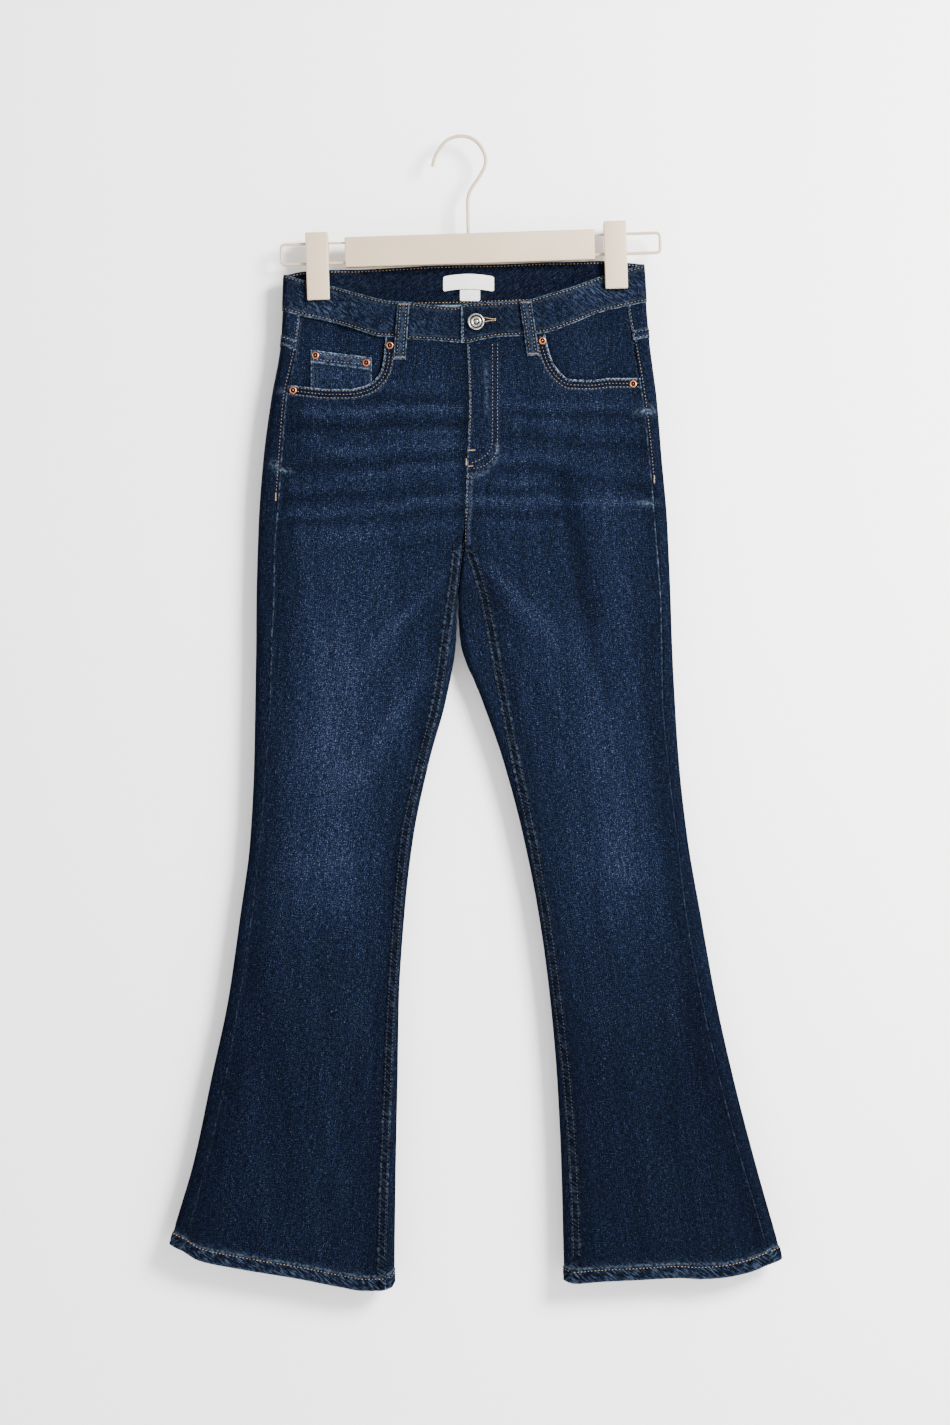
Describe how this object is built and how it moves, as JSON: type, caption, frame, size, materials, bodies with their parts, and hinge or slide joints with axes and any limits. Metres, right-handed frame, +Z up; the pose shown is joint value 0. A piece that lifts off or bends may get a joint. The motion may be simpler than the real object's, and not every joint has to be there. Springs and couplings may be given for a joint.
{
  "type": "bootcut jeans on clip hanger",
  "caption": "Dark blue bootcut jeans hung flat by the waistband from a plastic clip hanger with a wire hook; scoop pockets, coin pocket, zip fly, copper rivets and flared hems.",
  "frame": {"origin": "the seat inside the hanger's hook, where a rail or wall hook holds it", "axes": "+Z up, -Y the front of the jeans, +X the wearer's left"},
  "size_m": [0.632, 0.0446, 1.1892],
  "materials": {
    "denim": "indigo stretch denim, worn at the thighs and edges",
    "denim_facing": "unfaded indigo denim",
    "zip": "brass teeth on navy tape",
    "copper": "antique copper",
    "nickel": "polished nickel",
    "label": "white woven tape",
    "hanger_plastic": "moulded, satin",
    "hanger_wire": "powder-coated steel wire"
  },
  "bodies": {
    "root": {"front_right": "denim", "front_left": "denim", "back_right": "denim", "back_left": "denim", "yoke_right": "denim", "yoke_left": "denim", "waistband": "denim", "pocket_facing_right": "denim_facing", "pocket_facing_left": "denim_facing", "coin_pocket": "denim", "back_pocket_right": "denim", "back_pocket_left": "denim", "fly_shield": "denim_facing", "zip": "zip", "belt_loop_front_right": "denim", "belt_loop_front_left": "denim", "belt_loop_back_right": "denim", "belt_loop_back_left": "denim", "belt_loop_back_centre": "denim", "rivet_side_right": "copper", "rivet_mouth_right": "copper", "rivet_coin_outer": "copper", "rivet_coin_inner": "copper", "rivet_mouth_left": "copper", "rivet_side_left": "copper", "button": "nickel", "label_main": "label", "label_size": "label", "hanger_bar": "hanger_plastic", "clip_right": "hanger_plastic", "clip_left": "hanger_plastic", "hanger_hook": "hanger_wire", "hanger_rail_right": "hanger_wire", "hanger_rail_left": "hanger_wire"}
  },
  "joints": []
}
